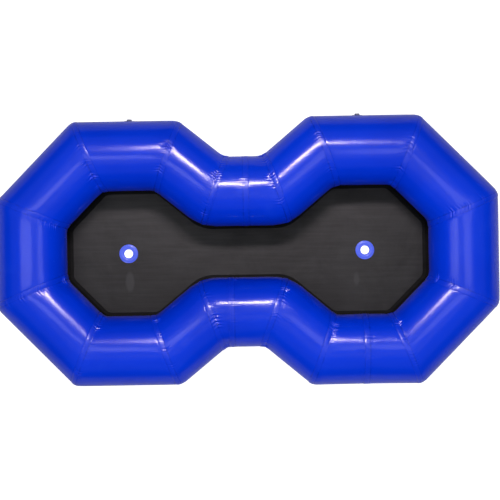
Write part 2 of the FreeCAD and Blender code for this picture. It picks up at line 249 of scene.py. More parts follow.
# %% How far a point moves along the tube's radius
STRAIGHT_GROOVE = 0.45  # depth of the dip where the tube runs straight on, as a share of GROOVE_DEPTH
CORNER_GROOVE = 0.85
CREASE_GROOVE = 0.8  # added in a crease


def swell(index, distance, after_seam):
    """How far the ring at this distance from a seam moves outwards, one value for each point round it."""
    joint = joints[index]
    away = np.abs(distance)
    room = np.clip(1 - away / joint["rounding"], 0, 1)
    rounding = joint["rounding"] * math.sin(joint["turn"] / 2) / 2 * room ** 2 * joint["bulge"]
    bridge = np.clip(1 - away / CREASE_FILLING, 0, 1) ** 2
    filling = CREASE_FILLING * math.sin(joint["turn"] / 2) / 2 * bridge * joint["crease"] ** 2
    shallow = joint["turn"] < STRAIGHT
    depth = GROOVE_DEPTH * (STRAIGHT_GROOVE if shallow else CORNER_GROOVE + CREASE_GROOVE * joint["crease"])
    groove = depth * np.exp(-(away / GROOVE_REACH) ** 1.25)
    if after_seam:
        groove = groove + EDGE_DIP * np.exp(-((away - LAP_WIDTH) / EDGE_DIP_REACH) ** 2)
    ripple = joint["pucker"] * np.exp(-(away / PUCKER_REACH) ** 2)
    ripple = ripple + joint["slow"] * np.exp(-(away / SLOW_REACH) ** 2)
    return ripple + filling - groove - rounding


print("swell at seam 0, in mm", (swell(0, 0.0, True).min() * 1000).round(2), "to",
      (swell(0, 0.0, True).max() * 1000).round(2))

# %% [markdown]
# ## Rings of points on a run
# A fibre is a line along the tube, from seam to seam. On a mitred sleeve the fibres differ in length, so a
# ring of points is placed by its distance along each fibre. It then follows the seam when it is near it.

# %% Fibres and rings
def fibre_start(k):
    """How far along run k the seam plane at its start lies, for each point round the tube."""
    plane, run = joints[k]["plane"], runs[k]
    return -TUBE_RADIUS * np.cos(theta) * (run["out"] @ plane) / (run["along"] @ plane)


def fibre_end(k):
    """How far along run k the seam plane at its end lies."""
    plane, run = joints[(k + 1) % PANEL_COUNT]["plane"], runs[k]
    length = np.linalg.norm(run["end"] - run["start"])
    return length - TUBE_RADIUS * np.cos(theta) * (run["out"] @ plane) / (run["along"] @ plane)


def ring_points(k, from_start, lift):
    """A ring of points on run k, at a distance along each fibre from the start seam, lifted off the tube."""
    run, begin = runs[k], fibre_start(k)
    to_end = fibre_end(k) - begin - from_start
    moved = TUBE_RADIUS + lift + swell(k, from_start, True) + swell((k + 1) % PANEL_COUNT, to_end, False)
    radial = np.outer(np.cos(theta), run["out"]) + np.outer(np.sin(theta), UP)
    centre = run["start"] + np.outer(begin + from_start, run["along"]) + UP * AXIS_HEIGHT
    return centre + radial * moved[:, None]


print("shortest fibre", min((fibre_end(k) - fibre_start(k)).min() for k in range(PANEL_COUNT)).round(4))

# %% [markdown]
# ### Rings into cloth
# The rings become a surface with a UV map in metres, round the tube and then along it. The weave and the
# roll lines use that map, so they keep their true size and run along every panel.

# %% A surface with a cloth map
def build_cloth(name, rows, row_places):
    """Joins rings of points into a surface. row_places says how far along the cloth each point lies."""
    count = len(rows[0])
    faces, corner_uv = [], []
    around_step = 2 * math.pi * TUBE_RADIUS / AROUND
    for r in range(len(rows) - 1):
        for c in range(count):
            nxt = (c + 1) % count
            faces.append((r * count + c, r * count + nxt, (r + 1) * count + nxt, (r + 1) * count + c))
            for row, column in ((r, c), (r, c + 1), (r + 1, c + 1), (r + 1, c)):
                corner_uv += [column * around_step, row_places[row][c]]
    mesh = bpy.data.meshes.new(name)
    mesh.from_pydata(np.concatenate(rows).tolist(), [], faces)
    mesh.uv_layers.new(name="cloth").data.foreach_set("uv", corner_uv)
    return place_mesh(name, mesh)


print("helper", build_cloth.__name__)

# %% [markdown]
# ## The panels' skins
# Each panel starts under its neighbour's lap, runs along the tube and ends as a lap over the next panel.
# Rings stand close together near a seam, where the shape is fine, and far apart on the plain run. Three
# numbers are kept with each point for the material: how far the seam is, where painted shade draws a dark
# line along a fold or a lap's edge, and where the cloth lies double.

# %% Skins
NEAR_ROWS = np.array([0, 0.0015, 0.0035, 0.006, 0.009, 0.0125, 0.0165, 0.0205, 0.0225, 0.024, 0.0255, 0.028,
                      0.0325, 0.040, 0.052, 0.068])
NEAR_SHARE = 0.42  # the rows near a seam take up at most this share of the shortest fibre
ROW_SPACING = 0.030
VALVE_ROW_SPACING = 0.010
LAP_ROWS = np.array([0.003, 0.007, 0.012, 0.0165, 0.0205, 0.0232, LAP_WIDTH])
LAP_SHARE = 0.4
LAP_DROOP = 0.00035  # how far the lap's edge leans down to the panel under it
LIFT_REACH = 0.012  # the end of a panel rises this long to lie on the next one
# The next four numbers set a painted shade line: along a fold it is darker in a crease, and along a lap's edge
# it also stands for the dark cut edge.
FOLD_SHADE_WIDTH = 0.0028
EDGE_SHADE_WIDTH = 0.0022
EDGE_SHADE_STRENGTH = 0.55
FOLD_SHADE_STRENGTH = 0.8


def panel_skin(k):
    """One fabric panel: from under its neighbour's lap, along the run, and over the next panel's edge."""
    nxt = (k + 1) % PANEL_COUNT
    whole = fibre_end(k) - fibre_start(k)
    squeeze = min(1.0, NEAR_SHARE * whole.min() / NEAR_ROWS[-1])
    near = NEAR_ROWS * squeeze
    middle = whole - 2 * near[-1]
    spacing = VALVE_ROW_SPACING if "far_side" in PANELS[k] else ROW_SPACING
    middle_rows = max(1, int(round(middle.max() / spacing)))
    rows, places, seam_distance, seam_shade_lines, lapped = [], [], [], [], []

    def add(from_start, lift):
        rows.append(ring_points(k, from_start, lift))
        places.append(from_start)
        seam_distance.append(np.minimum(np.abs(from_start), np.abs(whole - from_start)))
        fold = np.exp(-(seam_distance[-1] / FOLD_SHADE_WIDTH) ** 2)
        lap_edge = EDGE_SHADE_STRENGTH * np.exp(-((from_start - LAP_WIDTH) / EDGE_SHADE_WIDTH) ** 2)
        # Painted shade along the seam's fold, darker in a crease, and along the lap's edge, whose cut edge is
        # dark too.
        seam_shade_lines.append((0.6 + 0.6 * joints[k]["crease"]) * fold + lap_edge)
        lapped.append(np.clip((LAP_WIDTH + 0.001 - from_start) / 0.002, 0, 1))

    for step in near:
        add(np.full(AROUND, step), 0.0)
    for number in range(1, middle_rows):
        add(near[-1] + middle * number / middle_rows, 0.0)
    for step in near[::-1]:
        add(whole - step, FABRIC * max(0.0, 1 - step / LIFT_REACH))
    lap_length = np.minimum(LAP_WIDTH, LAP_SHARE * (fibre_end(nxt) - fibre_start(nxt)).min())
    for step in LAP_ROWS * lap_length / LAP_WIDTH:
        droop = LAP_DROOP * (step / lap_length) ** 6
        rows.append(ring_points(nxt, np.full(AROUND, step), FABRIC - droop))
        places.append(whole + step)
        seam_distance.append(np.full(AROUND, step))
        at_edge = EDGE_SHADE_STRENGTH if step > LAP_ROWS[-2] - 0.0002 else 0.0
        line = max(FOLD_SHADE_STRENGTH * math.exp(-(step / FOLD_SHADE_WIDTH) ** 2), at_edge)
        seam_shade_lines.append(np.full(AROUND, line))
        lapped.append(np.ones(AROUND))
    rows.append(ring_points(nxt, np.full(AROUND, lap_length + 0.0002), 0.0001))
    places.append(whole + lap_length + 0.001)
    seam_distance.append(np.full(AROUND, lap_length))
    seam_shade_lines.append(np.full(AROUND, EDGE_SHADE_STRENGTH))
    lapped.append(np.ones(AROUND))
    skin = build_cloth(PANELS[k].replace("_panel", "_skin"), rows, places)
    for title, values in (("seam_distance", seam_distance), ("seam_shade_line", seam_shade_lines), ("lapped", lapped)):
        layer = skin.data.attributes.new(title, "FLOAT", "POINT")
        layer.data.foreach_set("value", np.concatenate(values))
    return skin


skins = [panel_skin(k) for k in range(PANEL_COUNT)]
print("panel skins", len(skins), "vertices", sum(len(s.data.vertices) for s in skins))

# %% [markdown]
# ## The hole for each valve
# The valve's body passes through the skin, and with the cap open one looks into its neck. The skin has a
# hole there. Its ragged edge lies under the valve's fabric flange, as the punched hole does on the real one.

# %% Cut the skin behind each valve
VALVES = {"left": "left_far_side_panel", "right": "right_far_side_panel"}


def valve_axis(side):
    """Middle of a valve's neck in x and z, and the y of the tube's surface there."""
    low, high = (np.array(c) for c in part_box(side + "_valve_body"))
    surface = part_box(VALVES[side])[1][1]
    return np.array([(low[0] + high[0]) / 2, surface, (low[2] + high[2]) / 2]), (high[0] - low[0]) / 2


for side, panel in VALVES.items():
    middle, neck_radius = valve_axis(side)
    skin = skins[PANELS.index(panel)]
    shell = bmesh.new()
    shell.from_mesh(skin.data)
    inside = []
    for face in shell.faces:
        near = [math.hypot(v.co.x - middle[0], v.co.z - middle[2]) for v in face.verts]
        at_front = face.calc_center_median().y > middle[1] - TUBE_RADIUS / 2
        if at_front and min(near) < neck_radius * 0.95:
            inside.append(face)
    bmesh.ops.delete(shell, geom=inside, context="FACES")
    shell.to_mesh(skin.data)
    shell.free()
    print(side, "valve hole, faces cut", len(inside))

# %% [markdown]
# ## Lines that follow the tube in plan
# The floor, its border and its weld all follow the tube's centre line at some distance. One function gives
# such a line with the same number of points whatever the distance, so two lines can be joined into a strip.

# %% Offset lines
ARC_POINTS = 9
EDGE_POINTS = 14
corners = [k for k in range(PANEL_COUNT) if joints[k]["turn"] > STRAIGHT]


def offset_corner(k, distance):
    """The corner of a line that runs parallel to the tube, outside it for a positive distance."""
    mitre = np.cross(UP, joints[k]["plane"])
    return joints[k]["point"] + mitre * distance / (mitre @ runs[k]["out"])


def offset_line(distance, waist_radius=0.0, corner_radius=0.004):
    """A closed line in plan, with its corners rounded, as rows of x and y."""
    places = [offset_corner(k, distance)[:2] for k in corners]
    bends = []
    for number, k in enumerate(corners):
        here, before, after = places[number], places[number - 1], places[(number + 1) % len(places)]
        back = (before - here) / np.linalg.norm(before - here)
        onward = (after - here) / np.linalg.norm(after - here)
        half_angle = math.acos(np.clip(back @ onward, -1, 1)) / 2
        radius = max(waist_radius if joints[k]["bulge_side"] < 0 else 0, corner_radius)
        bends.append((here, back, onward, radius / math.tan(half_angle)))
    points = []
    for number, (here, back, onward, cut) in enumerate(bends):
        for step in range(ARC_POINTS):
            t = step / (ARC_POINTS - 1)
            points.append(here + back * cut * (1 - t) ** 2 + onward * cut * t ** 2)
        after, _, _, next_cut = bends[(number + 1) % len(bends)]
        run_start, run_end = here + onward * cut, after - onward * next_cut
        for step in range(1, EDGE_POINTS):
            points.append(run_start + (run_end - run_start) * step / EDGE_POINTS)
    return np.array(points)


print("points on an offset line", len(offset_line(0)))

# %% [markdown]
# ## The floor
# The floor is one sheet of satin black coated fabric, pulled flat and welded to the tube's underside, where
# it turns up a little round the tube. Between the drain holes it is not quite flat: coated fabric keeps
# long, low waves from the roll. The middle is filled with triangles so that the round holes can be exact.

# %% Floor levels and waves
FLOOR_THICKNESS = FLOOR_TOP - floor_low[2]
SHEET_SETBACK = 0.0002  # keeps the sheet just clear of the faces it is laid on
WAVE_HEIGHT = 0.0013
CALM_REACH = 0.07  # the waves reach their full height this far from a drain ring
drain_centres = {}
for side in ("left", "right"):
    low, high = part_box(side + "_drain_ring")
    drain_centres[side] = np.array([(low[0] + high[0]) / 2, (low[1] + high[1]) / 2])
ring_reach = np.linalg.norm(vertex_array("left_drain_ring")[:, :2] - drain_centres["left"], axis=1)
DRAIN_RADIUS, RING_RADIUS = ring_reach.min(), ring_reach.max()


def under_tube(distance):
    """Height of the floor's top face where it follows the tube's underside."""
    return AXIS_HEIGHT - math.sqrt(TUBE_RADIUS ** 2 - max(distance, 0) ** 2) - SHEET_SETBACK


def floor_wave(x, y):
    """Long low waves in the sheet, none at the drain rings and none at the weld."""
    wave = math.sin(5.1 * x + 2.3 * y + 0.4) * math.sin(7.3 * y - 1.9 * x) * 0.6
    wave += math.sin(13.0 * x - 4.0 * y) * 0.25 + math.sin(21.0 * y + 9.0 * x + 1.0) * 0.18
    calm = 1.0
    for centre in drain_centres.values():
        away = math.hypot(x - centre[0], y - centre[1])
        calm *= min(1.0, max(0.0, (away - RING_RADIUS - 0.004) / CALM_REACH)) ** 1.5
    return WAVE_HEIGHT * (wave + 0.7) * 0.5 * calm


print("drain holes", round(DRAIN_RADIUS * 2, 4), "across, rings", round(RING_RADIUS * 2, 4))

# %% Spots for the floor's triangles
DRAIN_POINTS = 48
SPOT_SPACING = 0.019
SPOT_SHIFT = 0.003  # the spots stand a little off a square grid, so the waves show no rows
DRAIN_CLEARANCE = 0.010


def inside_polygon(x, y, polygon):
    """Counts how often a line to the right of the point crosses the polygon."""
    px, py = polygon[:, 0], polygon[:, 1]
    qx, qy = np.roll(px, -1), np.roll(py, -1)
    crosses = (py > y) != (qy > y)
    at = px + (y - py) / np.where(qy == py, 1, qy - py) * (qx - px)
    return bool(np.count_nonzero(crosses & (x < at)) % 2)


def from_drain(x, y):
    """How far a point is from the middle of the nearer drain hole."""
    return min(math.hypot(x - c[0], y - c[1]) for c in drain_centres.values())


def floor_spots(rim, calm_rim):
    """Points to join into triangles, and the edges that must stay: the rim and both drain holes."""
    spots = [Vector(p) for p in rim]
    edges = [(n, (n + 1) % len(rim)) for n in range(len(rim))]
    for centre in drain_centres.values():
        first = len(spots)
        for n in range(DRAIN_POINTS):
            turn = 2 * math.pi * n / DRAIN_POINTS
            spots.append(Vector(centre + DRAIN_RADIUS * np.array([math.cos(turn), math.sin(turn)])))
            edges.append((first + n, first + (n + 1) % DRAIN_POINTS))
    random = np.random.RandomState(7)
    for x in np.arange(rim[:, 0].min(), rim[:, 0].max(), SPOT_SPACING):
        for y in np.arange(rim[:, 1].min(), rim[:, 1].max(), SPOT_SPACING):
            px, py = x + random.uniform(-1, 1) * SPOT_SHIFT, y + random.uniform(-1, 1) * SPOT_SHIFT
            if from_drain(px, py) > DRAIN_RADIUS + DRAIN_CLEARANCE and inside_polygon(px, py, calm_rim):
                spots.append(Vector((px, py)))
    return spots, edges


print("helpers", inside_polygon.__name__, from_drain.__name__, floor_spots.__name__)

# %% Floor sheet
WELD_OUTSIDE = [0.040, 0.0385, 0.030, 0.020, 0.010, 0.0, -0.010]  # the weld's lines, from the centre line
EDGE_TUCK = 0.0005  # the sheet's outer edge is pressed down this far
CALM_LINE = -0.028  # outside this line the floor has no waves
HOLE_SHARE = 0.98  # a triangle nearer a hole's middle than this share of its radius is left out


def build_floor_sheet():
    lines = [offset_line(d) for d in WELD_OUTSIDE]
    heights = [under_tube(d) for d in WELD_OUTSIDE]
    heights[0] -= EDGE_TUCK
    rim, calm_rim = lines[-1], offset_line(CALM_LINE)
    spots, edges = floor_spots(rim, calm_rim)
    found, _, triangles, *_ = geometry.delaunay_2d_cdt(spots, edges, [], 0, 1e-6)
    shell = bmesh.new()
    middle = []
    for x, y in found:
        wave = floor_wave(x, y) if inside_polygon(x, y, calm_rim) else 0
        middle.append(shell.verts.new((x, y, FLOOR_TOP + wave - SHEET_SETBACK)))
    for triangle in triangles:
        cx, cy = (sum(found[i][axis] for i in triangle) / 3 for axis in (0, 1))
        if from_drain(cx, cy) >= DRAIN_RADIUS * HOLE_SHARE and inside_polygon(cx, cy, rim):
            shell.faces.new([middle[i] for i in triangle])
    rows = [[shell.verts.new((x, y, z)) for x, y in line] for line, z in zip(lines[:-1], heights[:-1])]
    order = {(round(x, 5), round(y, 5)): n for n, (x, y) in enumerate(found)}
    rows.append([middle[order[(round(x, 5), round(y, 5))]] for x, y in rim])
    join_rows(shell, rows)
    bmesh.ops.delete(shell, geom=[v for v in shell.verts if not v.link_faces], context="VERTS")
    sheet = place_shell("floor_sheet", shell, face_up=True)
    thick = sheet.modifiers.new("thickness", "SOLIDIFY")
    thick.thickness = FLOOR_THICKNESS
    thick.offset = -1
    return sheet


floor_sheet = build_floor_sheet()
print("floor faces", len(floor_sheet.data.polygons))

# %% [markdown]
# ## The border strip
# A narrow strip of the same fabric is welded over the joint between floor and tube. Its inner edge is what
# shows as a dark line round the floor. It is a strip between offset lines, with a pressed weld groove and
# a rounded edge, and it turns the waist corners on a generous radius because the strip is cut in one piece.

# %% Border strip
border_lines = sorted(set(np.round(vertex_array("floor_border_strip")[:, 0], 4)))
inner_edge = border_lines[1] - (end_low[0] + TUBE_RADIUS)
print("border reaches", round(inner_edge, 4), "inside the centre line")
# Rows across the strip: how far inside the tube's centre line, and how high over the floor.
BORDER_ROWS = [(0.022, 0.0010), (0.060, 0.0011), (0.100, 0.0012), (0.128, 0.0012),
               (inner_edge - 0.0150, 0.0012), (inner_edge - 0.0138, 0.0017), (inner_edge - 0.0122, 0.0017),
               (inner_edge - 0.0110, 0.0010), (inner_edge - 0.0020, 0.0012), (inner_edge - 0.0005, 0.0008),
               (inner_edge, 0.0001)]
BORDER_LIFT = 0.0007  # the border lies over the floor's waves
WAIST_BORDER_RADIUS = 0.15
BORDER_CORNER_RADIUS = 0.040
shell = bmesh.new()
rows = []
for inside, rise in BORDER_ROWS:
    share = inside / inner_edge
    line = offset_line(-inside, WAIST_BORDER_RADIUS * share, BORDER_CORNER_RADIUS * share)
    rows.append([shell.verts.new((x, y, FLOOR_TOP + rise + BORDER_LIFT)) for x, y in line])
join_rows(shell, rows)
border = place_shell("border_strip", shell, face_up=True)
print("border faces", len(border.data.polygons))

# %% [markdown]
# ## Drain rings
# Round each drain hole lies a welded ring of tube fabric, so that the hole doesn't tear. A ring is turned
# like a lathe piece: a profile goes round the hole's axis. The profile has a soft inner lip and two pressed
# weld grooves, and the ring waves very slightly, as a welded patch does.

# %% Turn profiles round an axis
def lathe(name, profile, steps, place):
    """Turns (radius, height) points round an axis. place() puts each (radius, angle, height) in space."""
    shell = bmesh.new()
    turns = [2 * math.pi * n / steps for n in range(steps)]
    join_rows(shell, [[shell.verts.new(place(radius, turn, height)) for turn in turns]
                      for radius, height in profile])
    return place_shell(name, shell)


print("helper", lathe.__name__)

# %% Drain patches
MM = 0.001
ring_width = RING_RADIUS - DRAIN_RADIUS
# Across the ring in mm from the hole's edge, and its height.
RING_PROFILE = [(0.0, -1.2), (0.0, 0.5), (0.3, 1.0), (1.4, 1.3), (3.6, 1.3), (4.2, 1.0), (5.0, 1.0),
                (5.6, 1.3), (12.0, 1.35), (17.6, 1.25), (18.2, 0.95), (19.0, 0.95), (19.6, 1.2), (21.6, 1.1),
                (22.3, 0.7), (22.5, 0.0)]
rings = {}
for side, centre in drain_centres.items():
    def on_floor(radius, angle, height, centre=centre):
        ripple = 0.00018 * math.sin(5 * angle + centre[0] * 9) if height > 0 else 0
        return (centre[0] + radius * math.cos(angle), centre[1] + radius * math.sin(angle),
                FLOOR_TOP + height + ripple)

    profile = [(DRAIN_RADIUS + w * MM * ring_width / 0.0225, h * MM) for w, h in RING_PROFILE]
    rings[side] = lathe(side + "_drain_patch", profile, 96, on_floor)
print("drain rings", list(rings))

# %% [markdown]
# ## Inside the tube
# Each seam is backed inside by a narrow tape, and two bulkheads part the waist, so that each lobe holds its
# own air. Nobody sees them, but they follow the same seam shape as the skin, a little further in, so that
# they never show through it. A bulkhead is a domed disc with a welded flange.

# %% Tapes and bulkheads
TAPE_HALF_WIDTH = 0.0115
TAPE_INSET = 0.0016
BULKHEAD_FLANGE = 0.0125
BULKHEAD_DOME = 0.035  # how far the disc bellies out at its middle
seam_bands = []


def seam_rings(k, offsets, lift):
    """Rings of points at distances before (below zero) or after seam k."""
    before = k - 1 if k else PANEL_COUNT - 1
    whole = fibre_end(before) - fibre_start(before)
    found = []
    for offset in offsets:
        if offset < 0:
            found.append(ring_points(before, whole + offset, lift))
        else:
            found.append(ring_points(k, np.full(AROUND, offset), lift))
    return found


def tape_name(k):
    """The CAD tape or bulkhead whose middle lies nearest the seam."""
    chosen, nearest = None, 1.0
    for name in nodes:
        if name.endswith("seam_tape") or name.endswith("bulkhead"):
            low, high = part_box(name)
            away = math.hypot((low[0] + high[0]) / 2 - seams[k][0], (low[1] + high[1]) / 2 - seams[k][1])
            if away < nearest:
                chosen, nearest = name, away
    return chosen


for k in range(PANEL_COUNT):
    cad_name = tape_name(k)
    if cad_name.endswith("tape"):
        offsets = np.array([-1, -0.55, 0, 0.55, 1]) * TAPE_HALF_WIDTH
        rows = seam_rings(k, offsets, -TAPE_INSET)
        places = [np.full(AROUND, o) for o in offsets]
        band = build_cloth(cad_name.replace("seam_tape", "inner_tape"), rows, places)
    else:
        rows = seam_rings(k, np.array([BULKHEAD_FLANGE, 0.006, 0]), -TAPE_INSET)
        hub = seams[k] + UP * AXIS_HEIGHT
        for share in (0.94, 0.82, 0.66, 0.48, 0.3, 0.14, 0.02):
            dome = runs[k]["along"] * BULKHEAD_DOME * (1 - share ** 2)
            rows.append(hub + (rows[2] - hub) * share + dome)
        places = [np.full(AROUND, 0.01 * n) for n in range(len(rows))]
        band = build_cloth(cad_name.replace("bulkhead", "bulkhead_disc"), rows, places)
    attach(band, "tube")
    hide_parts(cad_name)
    seam_bands.append(band)
print("bands", len(seam_bands))

# %% [markdown]
# ## Valves
# A screw-in boat valve sits in a fabric boot welded on the far side of each lobe. The boot is a thin patch
# that bends with the tube, with pressed rings. The cap is the one part that a hand takes hold of, so it has
# a ribbed rim, a dished top and a tab. The moulded parts behind it keep their engineering shape, and only
# get softened edges.

# %% Fabric boot
def valve_places(side):
    """Two ways to place a turned profile at a valve, one bent to the tube and one straight, and its neck."""
    middle, neck_radius = valve_axis(side)

    def on_tube(radius, angle, height):
        x, z = radius * math.cos(angle), radius * math.sin(angle)
        y = math.sqrt((TUBE_RADIUS + height) ** 2 - z ** 2) - TUBE_RADIUS
        return middle[0] + x, middle[1] + y, middle[2] + z

    def off_tube(radius, angle, height):
        return middle[0] + radius * math.cos(angle), middle[1] + height, middle[2] + radius * math.sin(angle)

    return on_tube, off_tube, neck_radius


BOOT_PROFILE = [(0.0, 0.9), (0.06, 1.25), (0.2, 1.25), (0.28, 0.95), (0.36, 0.95), (0.42, 1.2), (0.68, 1.2),
                (0.74, 0.9), (0.84, 0.9), (0.9, 1.1), (0.97, 0.85), (1.0, 0.05)]
boots = {}
for side in VALVES:
    on_tube, _, neck_radius = valve_places(side)
    low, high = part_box(side + "_valve_flange")
    boot_radius = (high[0] - low[0]) / 2
    profile = [(neck_radius + share * (boot_radius - neck_radius), h * MM) for share, h in BOOT_PROFILE]
    boots[side] = lathe(side + "_valve_boot", profile, 72, on_tube)
    print(side, "boot radius", round(boot_radius, 4))

# %% Ribbed cap
RIBS = 36
STEPS_PER_RIB = 6
RIB_DEPTH = 0.00035


def build_cap(side):
    """A turned cap with a ribbed rim, and a flat tab on each side, grown to the size of the model's tabs."""
    off_tube = valve_places(side)[1]
    middle = valve_axis(side)[0]
    low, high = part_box(side + "_valve_cap")
    outer = (high[0] - low[0]) / 2
    bottom, top = low[1] - middle[1], high[1] - middle[1]
    seal_low, seal_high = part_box(side + "_valve_cap_seal")
    inner, ceiling = (seal_high[0] - seal_low[0]) / 2, seal_high[1] - middle[1]

    def ribbed(radius, angle, height):
        on_rim = radius > outer * 0.985 and height < top - 0.0012
        if on_rim:
            radius -= RIB_DEPTH * (0.5 - 0.5 * math.cos(RIBS * angle))
        return off_tube(radius, angle, height)

    profile = [(0.0002, ceiling), (inner * 0.6, ceiling), (inner, ceiling), (inner, bottom + 0.0003),
               (inner + 0.0003, bottom), (outer - 0.0005, bottom), (outer, bottom + 0.0005),
               (outer, (bottom + top) / 2), (outer, top - 0.0013), (outer - 0.0003, top - 0.0006),
               (outer - 0.0009, top - 0.0001), (outer - 0.0018, top), (outer - 0.0026, top - 0.0001),
               (outer - 0.0030, top - 0.0006), (outer - 0.0050, top - 0.0007), (outer - 0.0070, top - 0.0004),
               (0.0002, top - 0.0003)]
    cap = lathe(side + "_ribbed_cap", profile, RIBS * STEPS_PER_RIB, ribbed)
    points = vertex_array(side + "_valve_cap")
    shell = bmesh.new()
    shell.from_mesh(cap.data)
    for direction in (1, -1):
        beyond = points[(points[:, 2] - middle[2]) * direction > outer * 1.02]
        half_width = np.abs(beyond[:, 0] - middle[0]).max()
        reach = np.abs(beyond[:, 2] - middle[2]).max()
        tab_low, tab_high = beyond[:, 1].min(), beyond[:, 1].max()
        start = outer - 0.0006
        rows = []
        for share in (0.0, 0.4, 0.75, 0.92, 1.0):
            narrowing = 1.0 if share < 0.8 else (0.9 if share < 1 else 0.7)
            z = middle[2] + direction * (start + (reach - start) * share)
            thin = 0.00015 if share == 1.0 else 0.0
            half = half_width * narrowing
            section = [(-half, tab_low + thin), (half, tab_low + thin), (half + 0.0001, tab_low + 0.0003),
                       (half, tab_high - thin), (-half, tab_high - thin), (-half - 0.0001, tab_high - 0.0003)]
            rows.append([shell.verts.new((middle[0] + x, y, z)) for x, y in section])
        join_rows(shell, rows)
        shell.faces.new(rows[0])
        shell.faces.new(rows[-1])
    bmesh.ops.recalc_face_normals(shell, faces=shell.faces)
    shell.to_mesh(cap.data)
    shell.free()
    return cap


caps = {side: build_cap(side) for side in VALVES}
print("caps", [len(c.data.polygons) for c in caps.values()])

# %% [markdown]
# ## The springs
# A coil spring pushes each stem's button out against the neck. One end stays on the neck's hub and the other
# goes with the button, so the coil is a piece of its own. Its pitch is closer at the ends, as on a wound
# spring.

# %% Coil springs
SPRING_TURNS = 4.5
SPRING_WIRE = 0.00025  # the wire's radius
SPRING_END_GAP = 0.00003
WIRE_SIDES = 12
STEPS_PER_TURN = 40


def build_spring(side):
    """A wire coil between the neck's hub and the stem's button."""
    low, high = (np.array(c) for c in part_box(side + "_valve_spring"))
    middle = (low + high) / 2
    coil_radius = (high[0] - low[0]) / 2 - SPRING_WIRE
    first = low[1] + SPRING_WIRE + SPRING_END_GAP
    last = high[1] - SPRING_WIRE - SPRING_END_GAP
    count = int(SPRING_TURNS * STEPS_PER_TURN)
    shell = bmesh.new()
    rows = []
    for step in range(count + 1):
        share = step / count
        turn = 2 * math.pi * SPRING_TURNS * share
        out = Vector((math.cos(turn), 0.0, math.sin(turn)))
        climb = share - 0.5 * math.sin(2 * math.pi * share) / (2 * math.pi)
        centre = Vector(middle) + out * coil_radius
        centre.y = first + (last - first) * climb
        row = []
        for n in range(WIRE_SIDES):
            angle = 2 * math.pi * n / WIRE_SIDES
            sideways = out * math.cos(angle) + Vector((0, math.sin(angle), 0))
            row.append(shell.verts.new(centre + sideways * SPRING_WIRE))
        rows.append(row)
    join_rows(shell, rows)
    shell.faces.new(rows[0])
    shell.faces.new(rows[-1])
    spring = place_shell(side + "_coil_spring", shell)
    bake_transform(spring)
    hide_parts(side + "_valve_spring")
    return spring


springs = {side: build_spring(side) for side in VALVES}
print("springs", [len(s.data.polygons) for s in springs.values()])

# %% [markdown]
# ## The hinge films
# The cap turns on a thin film between its tab and the tether. On the real one both are one moulding. A short
# bead on the hinge's own axis closes the gap in every position, because turning a round bead about its own
# middle changes nothing. It stands for no node of the model, and it stays with the tube.

# %% Hinge films
HINGE_OVERLAP = 0.0002
HINGE_STEPS = 20
hinges = {}
for side in VALVES:
    tether_low, tether_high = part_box(side + "_valve_tether")
    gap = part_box(side + "_valve_cap")[0][1] - tether_high[1]
    hinge_radius = gap / 2 + HINGE_OVERLAP
    tether_points = vertex_array(side + "_valve_tether")
    tongue_end = tether_points[tether_points[:, 2] < tether_low[2] + 0.0005]
    hinge_x = (tongue_end[:, 0].max() + tongue_end[:, 0].min()) / 2
    half_width = (tongue_end[:, 0].max() - tongue_end[:, 0].min()) / 2 - HINGE_OVERLAP
    hinge_y, hinge_z = tether_high[1] + gap / 2, tether_low[2]

    def on_hinge(radius, angle, along, x=hinge_x, y=hinge_y, z=hinge_z):
        return x + along, y + radius * math.cos(angle), z + radius * math.sin(angle)

    profile = [(hinge_radius * 0.1, -half_width), (hinge_radius * 0.8, -half_width),
               (hinge_radius, -half_width + HINGE_OVERLAP), (hinge_radius, half_width - HINGE_OVERLAP),
               (hinge_radius * 0.8, half_width), (hinge_radius * 0.1, half_width)]
    hinges[side] = lathe(side + "_hinge_film", profile, HINGE_STEPS, on_hinge)
    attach(hinges[side], "tube")
print("hinge films", list(hinges))

# %% [markdown]
# ## Softened edges
# No moulded edge is truly sharp, and a softened one catches a line of light. The model's own meshes aren't
# changed. A weld and a small bevel are put over them as modifiers.

# %% Softened edges on the moulded parts
EDGE_WIDTH = 0.00018
for side in VALVES:
    for part in ("body", "stem", "tether", "seal", "cap_seal"):
        moulding = nodes[side + "_valve_" + part]
        moulding.modifiers.new("weld", "WELD").merge_threshold = 0.00001
        soften = moulding.modifiers.new("soften", "BEVEL")
        soften.width = EDGE_WIDTH
        soften.segments = 2
        soften.limit_method = "ANGLE"
        soften.angle_limit = math.radians(40)
for side in VALVES:
    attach(boots[side], "tube")
    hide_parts(side + "_valve_flange")
    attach(caps[side], side + "_cap")
    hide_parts(side + "_valve_cap")
print("valves dressed", list(VALVES))

# %% [markdown]
# ## Attaching the soft pieces
# Every piece is hung on the body it moves with, and the engineering node that it stands for, if it stands for
# one, is hidden. The air tube is as tight as a drum, and the floor is a sheet cut flat to the plan and
# stretched between the tubes.

for name, skin in zip(PANELS, skins):
    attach(skin, "tube")
    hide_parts(name)
for piece, cad_name, slot in [(floor_sheet, "floor_panel", "floor_fabric"),
                              (border, "floor_border_strip", "border_strip"),
                              (rings["left"], "left_drain_ring", "drain_ring"),
                              (rings["right"], "right_drain_ring", "drain_ring")]:
    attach(piece, "tube")
    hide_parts(cad_name)
print("declared", len(skins), "panels and the floor")

# %% [markdown]
# ## Node helpers
# Materials here are graphs of shader nodes. Two small functions keep their making readable: one adds a node
# with its settings and inputs, the other starts a node group with named inputs and outputs.

# %% Helpers for shader nodes
def link_or_set(tree, value, socket):
    """Links another node's output to a socket, or sets the socket's own value."""
    if isinstance(value, bpy.types.NodeSocket):
        tree.links.new(value, socket)
    else:
        socket.default_value = value


